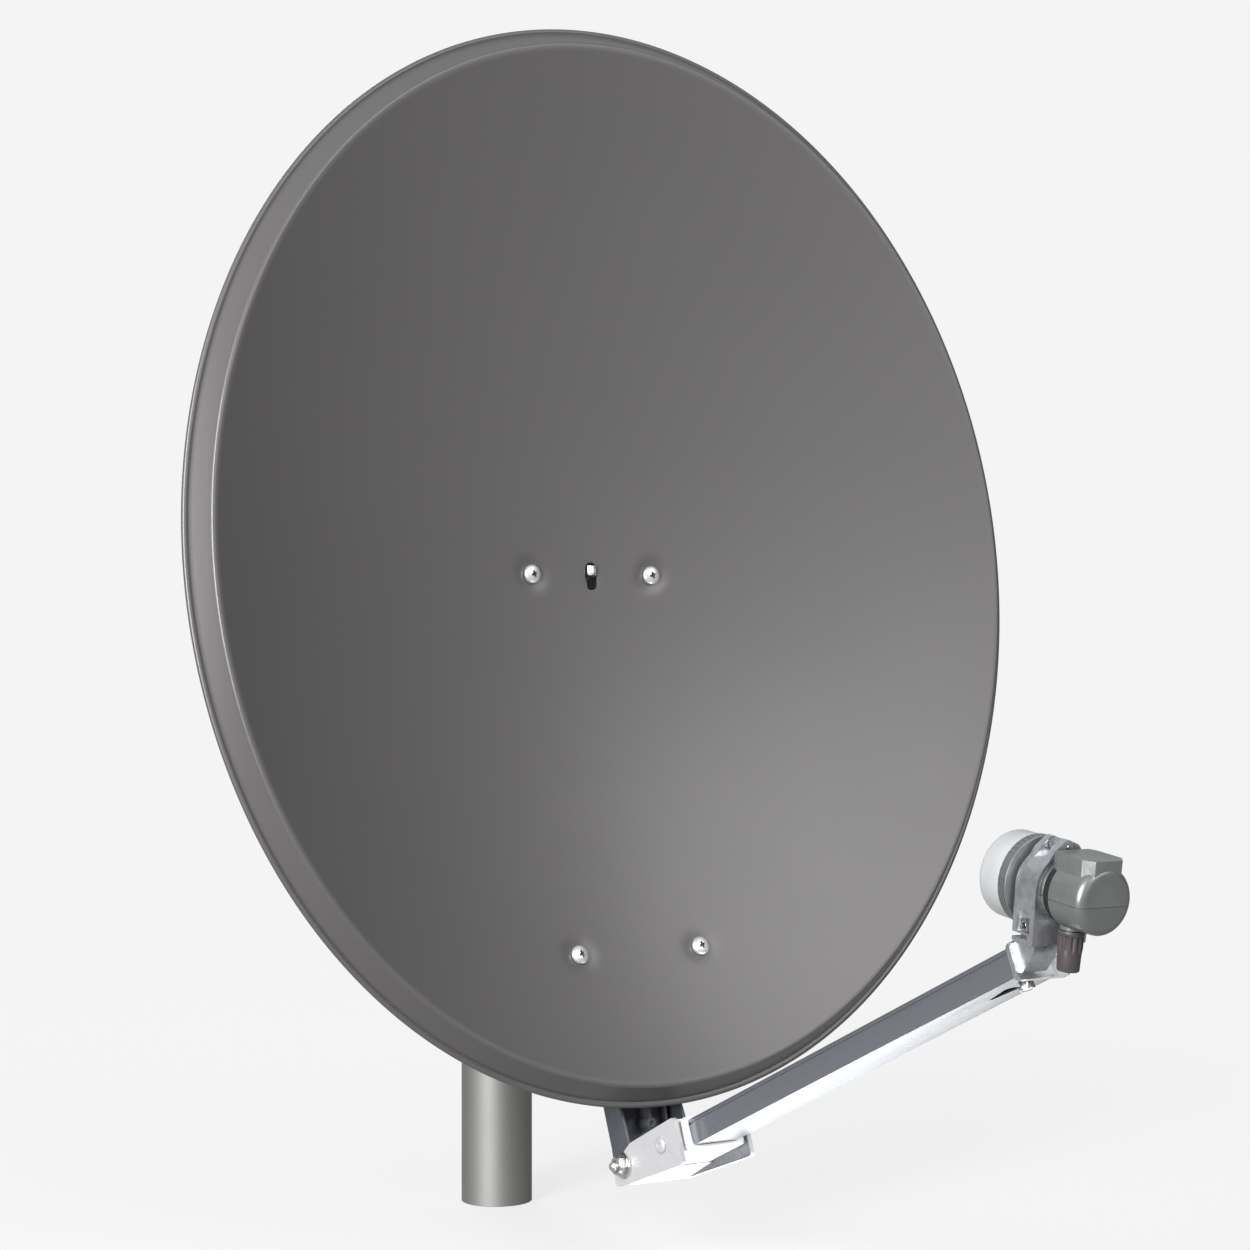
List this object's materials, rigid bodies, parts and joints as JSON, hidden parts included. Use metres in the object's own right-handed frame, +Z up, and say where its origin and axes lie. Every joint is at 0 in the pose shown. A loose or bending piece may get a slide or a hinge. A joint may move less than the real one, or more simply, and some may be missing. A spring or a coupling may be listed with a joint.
{
  "type": "satellite dish",
  "caption": "Offset satellite dish: elliptical reflector on a rear frame clamped to a mast, with a folding feed arm, a hinged holder and a feedhorn converter.",
  "frame": {"origin": "centre of the mast's foot, on the flat end of the tube", "axes": "+Z up along the mast; the reflector faces -Y; +X to the right as seen from behind the dish"},
  "size_m": [0.76, 0.8017, 0.9689],
  "materials": {
    "mast_tube": "galvanised steel tube, satin grey",
    "mast_cap": "black plastic cap",
    "mast_foot_plug": "black plastic plug",
    "mast_saddle": "galvanised pressed steel",
    "u_bolt_lower": "zinc-plated steel",
    "u_bolt_lower_nut_left": "zinc-plated steel",
    "u_bolt_lower_nut_right": "zinc-plated steel",
    "u_bolt_upper": "zinc-plated steel",
    "u_bolt_upper_nut_left": "zinc-plated steel",
    "u_bolt_upper_nut_right": "zinc-plated steel",
    "elevation_pivot_bolt": "zinc-plated steel",
    "elevation_pivot_nut": "zinc-plated steel",
    "elevation_lock_bolt": "zinc-plated steel",
    "elevation_lock_nut": "zinc-plated steel",
    "reflector": "anthracite satin powder coat on aluminium sheet",
    "rear_frame": "galvanised pressed steel",
    "foot_bracket": "dark die casting with bright edges",
    "hook_tab": "zinc-plated steel",
    "reflector_screw_1": "zinc-plated steel",
    "reflector_screw_2": "zinc-plated steel",
    "reflector_screw_3": "zinc-plated steel",
    "reflector_screw_4": "zinc-plated steel",
    "reflector_nut_1": "zinc-plated steel",
    "reflector_nut_2": "zinc-plated steel",
    "reflector_nut_3": "zinc-plated steel",
    "reflector_nut_4": "zinc-plated steel",
    "foot_bolt_1": "zinc-plated steel",
    "foot_bolt_2": "zinc-plated steel",
    "arm_fork": "pale grey die casting",
    "arm_collar": "white plastic",
    "arm_tube": "satin anodised extrusion",
    "fold_pivot_bolt": "zinc-plated steel",
    "fold_pivot_washer": "zinc-plated steel",
    "fold_pivot_nut": "zinc-plated steel",
    "fork_rivet": "zinc-plated steel",
    "feed_holder": "raw die casting",
    "holder_bolt": "zinc-plated steel",
    "hinge_pin": "zinc-plated steel",
    "clamp_nut": "zinc-plated steel",
    "holder_jaw": "raw die casting",
    "clamp_screw": "zinc-plated steel",
    "converter_shell_upper": "metallic grey plastic, semi-gloss",
    "converter_shell_lower": "metallic grey plastic, semi-gloss",
    "band_seal": "black plastic",
    "scale_flange": "metallic grey plastic, semi-gloss",
    "feed_cap": "light grey satin plastic",
    "cap_seal": "black rubber",
    "waveguide_horn": "raw die casting",
    "circuit_board": "green board",
    "f_connector": "plated brass",
    "weather_boot": "dark brown rubber"
  },
  "bodies": {
    "mast": {"mast_tube": "mast_tube", "mast_cap": "mast_cap", "mast_foot_plug": "mast_foot_plug"},
    "mount": {"mast_saddle": "mast_saddle", "u_bolt_lower": "u_bolt_lower", "u_bolt_lower_nut_left": "u_bolt_lower_nut_left", "u_bolt_lower_nut_right": "u_bolt_lower_nut_right", "u_bolt_upper": "u_bolt_upper", "u_bolt_upper_nut_left": "u_bolt_upper_nut_left", "u_bolt_upper_nut_right": "u_bolt_upper_nut_right", "elevation_pivot_bolt": "elevation_pivot_bolt", "elevation_pivot_nut": "elevation_pivot_nut", "elevation_lock_bolt": "elevation_lock_bolt", "elevation_lock_nut": "elevation_lock_nut"},
    "dish": {"reflector": "reflector", "rear_frame": "rear_frame", "foot_bracket": "foot_bracket", "hook_tab": "hook_tab", "reflector_screw_1": "reflector_screw_1", "reflector_screw_2": "reflector_screw_2", "reflector_screw_3": "reflector_screw_3", "reflector_screw_4": "reflector_screw_4", "reflector_nut_1": "reflector_nut_1", "reflector_nut_2": "reflector_nut_2", "reflector_nut_3": "reflector_nut_3", "reflector_nut_4": "reflector_nut_4", "foot_bolt_1": "foot_bolt_1", "foot_bolt_2": "foot_bolt_2"},
    "arm": {"arm_fork": "arm_fork", "arm_collar": "arm_collar", "arm_tube": "arm_tube", "fold_pivot_bolt": "fold_pivot_bolt", "fold_pivot_washer": "fold_pivot_washer", "fold_pivot_nut": "fold_pivot_nut", "fork_rivet": "fork_rivet", "feed_holder": "feed_holder", "holder_bolt": "holder_bolt", "hinge_pin": "hinge_pin", "clamp_nut": "clamp_nut"},
    "jaw": {"holder_jaw": "holder_jaw", "clamp_screw": "clamp_screw"},
    "converter": {"converter_shell_upper": "converter_shell_upper", "converter_shell_lower": "converter_shell_lower", "band_seal": "band_seal", "scale_flange": "scale_flange", "feed_cap": "feed_cap", "cap_seal": "cap_seal", "waveguide_horn": "waveguide_horn", "circuit_board": "circuit_board", "f_connector": "f_connector"},
    "boot": {"weather_boot": "weather_boot"}
  },
  "joints": [
    {"name": "azimuth", "type": "hinge", "parent": "mast", "child": "mount", "pos_m": [0, 0, 0.4375], "axis": [0, 0, 1], "continuous": true},
    {"name": "elevation", "type": "hinge", "parent": "mount", "child": "dish", "pos_m": [0, -0.11, 0.4], "axis": [-1, 0, 0], "range_deg": [-20, 20]},
    {"name": "arm_fold", "type": "hinge", "parent": "dish", "child": "arm", "pos_m": [0, -0.2535, 0.074], "axis": [-1, 0, 0], "range_deg": [0, 30]},
    {"name": "jaw_open", "type": "hinge", "parent": "arm", "child": "jaw", "pos_m": [0, -0.71463, 0.35034], "axis": [0, -0.9903, -0.1392], "range_deg": [0, 80]},
    {"name": "converter_skew", "type": "hinge", "parent": "arm", "child": "converter", "pos_m": [0, -0.7109, 0.3238], "axis": [0, -0.9903, -0.1392], "range_deg": [-30, 30]},
    {"name": "boot_pull", "type": "slide", "parent": "converter", "child": "boot", "axis": [0, 0.1392, -0.9903], "range_m": [0, 0.012]}
  ]
}
